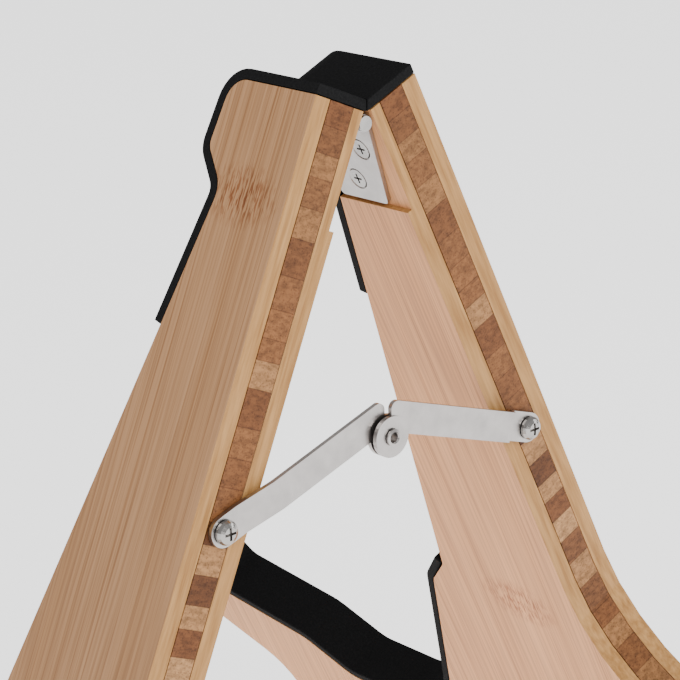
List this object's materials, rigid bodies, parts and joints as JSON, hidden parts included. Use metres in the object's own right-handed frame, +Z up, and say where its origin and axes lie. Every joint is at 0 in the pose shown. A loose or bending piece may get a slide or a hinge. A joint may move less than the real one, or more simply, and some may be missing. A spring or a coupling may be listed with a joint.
{
  "type": "folding guitar stand",
  "caption": "Folding stand of two hinged plywood boards with padded cradle arms for a guitar, held open by a folding steel brace at the rear.",
  "frame": {"origin": "on the floor, under the middle of the open stand's bounding box", "axes": "+Z up; +Y forward, toward the side the guitar rests on; +X to the right seen from behind; the hinge pin is parallel to Y"},
  "size_m": [0.3004, 0.2754, 0.302],
  "materials": {
    "face_wood": "clear satin lacquer on face veneer",
    "core_wood": "sanded and lacquered end grain",
    "pad_foam": "matte black closed-cell foam",
    "foot_rubber": "matte black rubber",
    "plated_steel": "satin nickel plating"
  },
  "bodies": {
    "left_panel": {"left_inner_ply": "face_wood", "left_core_ply": "core_wood", "left_outer_ply": "face_wood", "left_upper_pad": "pad_foam", "left_cradle_pad": "pad_foam", "left_front_foot": "foot_rubber", "left_rear_foot": "foot_rubber", "left_hinge_leaf": "plated_steel", "left_brace_screw": "plated_steel", "left_hinge_screw_1": "plated_steel", "left_hinge_screw_2": "plated_steel", "left_hinge_screw_3": "plated_steel", "hinge_pin": "plated_steel"},
    "right_panel": {"right_inner_ply": "face_wood", "right_core_ply": "core_wood", "right_outer_ply": "face_wood", "right_upper_pad": "pad_foam", "right_cradle_pad": "pad_foam", "right_front_foot": "foot_rubber", "right_rear_foot": "foot_rubber", "right_hinge_leaf": "plated_steel", "right_brace_screw": "plated_steel", "right_hinge_screw_1": "plated_steel", "right_hinge_screw_2": "plated_steel", "right_hinge_screw_3": "plated_steel"},
    "left_brace": {"left_brace_arm": "plated_steel", "brace_rivet_head": "plated_steel"},
    "right_brace": {"right_brace_arm": "plated_steel", "brace_rivet_tail": "plated_steel"}
  },
  "joints": [
    {"name": "board_fold", "type": "hinge", "parent": "left_panel", "child": "right_panel", "pos_m": [0, -0.0884, 0.289], "axis": [0, 1, 0], "range_deg": [0, 48.6]},
    {"name": "left_arm_turn", "type": "hinge", "parent": "left_panel", "child": "left_brace", "pos_m": [-0.05228, -0.0884, 0.1963], "axis": [0, 1, 0], "range_deg": [-42.7, 0]},
    {"name": "right_arm_turn", "type": "hinge", "parent": "right_panel", "child": "right_brace", "pos_m": [0.05228, -0.0884, 0.1963], "axis": [0, 1, 0], "range_deg": [0, 42.7]}
  ],
  "couplings": [
    {"joint": "left_arm_turn", "follows": "board_fold", "ratio": -0.87801},
    {"joint": "right_arm_turn", "follows": "board_fold", "ratio": 0.87801}
  ]
}
